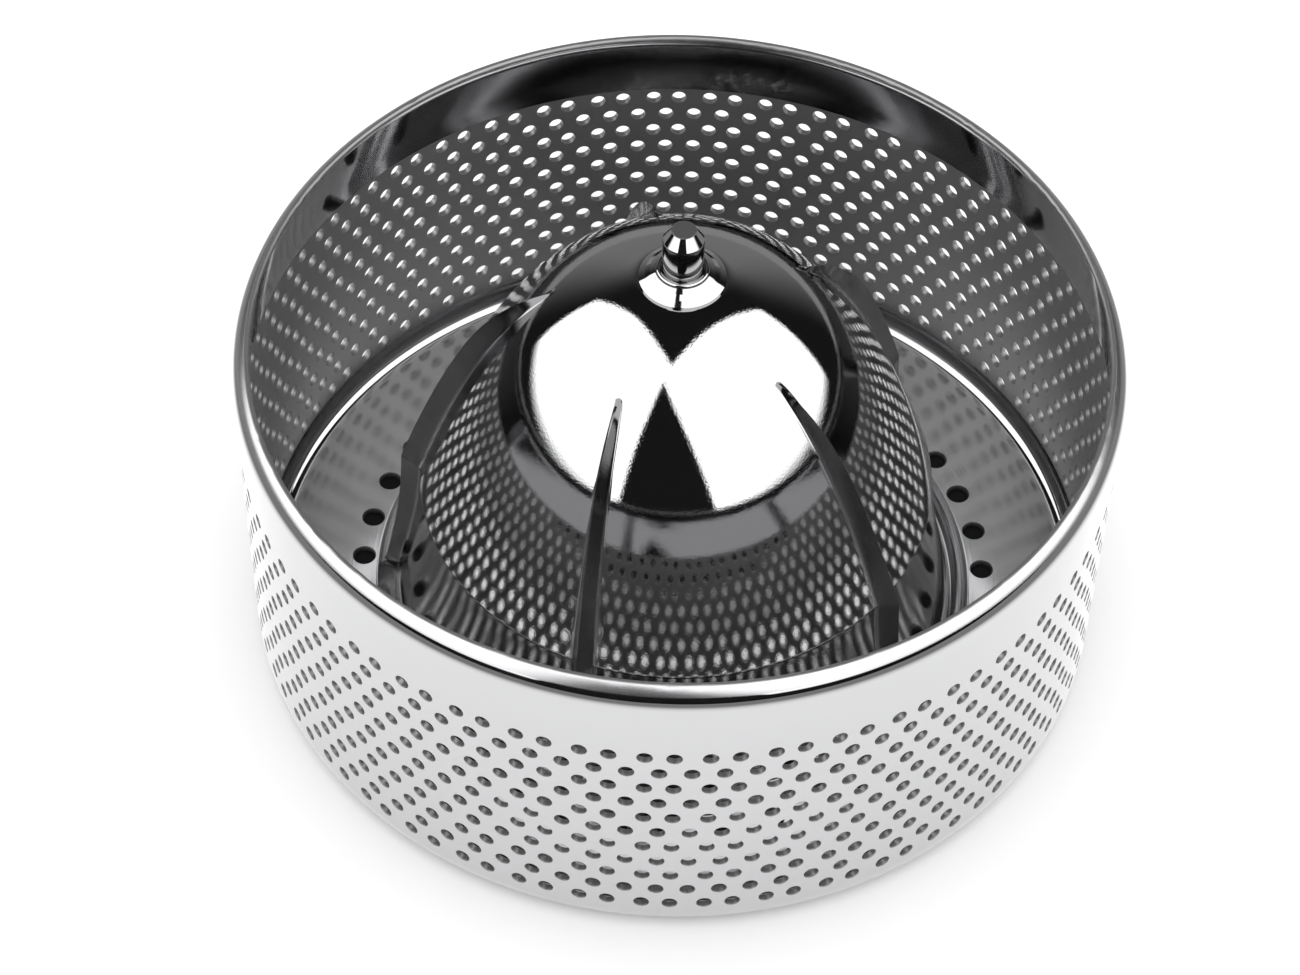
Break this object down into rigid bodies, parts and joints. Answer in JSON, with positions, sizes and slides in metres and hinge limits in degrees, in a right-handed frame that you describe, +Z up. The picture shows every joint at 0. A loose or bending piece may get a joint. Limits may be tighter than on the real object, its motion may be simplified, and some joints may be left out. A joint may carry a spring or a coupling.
{
  "type": "juicer cone",
  "caption": "Perforated stainless strainer drum of a citrus juicer with a polished five-ribbed reamer cone, a pivot pin on the crown and a drive hub inside.",
  "frame": {"origin": "centre of the drum's underside, on its axis of rotation", "axes": "+Z up along the axis of rotation, -Y towards the picture's viewer, +X to the viewer's right"},
  "size_m": [0.13, 0.13, 0.0783],
  "materials": {
    "drum_steel": "polished stainless sheet",
    "cone_steel": "mirror-polished stainless casting",
    "pin_steel": "turned and polished stainless, dull end",
    "hub_steel": "plain turned"
  },
  "bodies": {
    "root": {"strainer_drum": "drum_steel", "reamer_cone": "cone_steel", "top_pin": "pin_steel", "drive_hub": "hub_steel"}
  },
  "joints": []
}
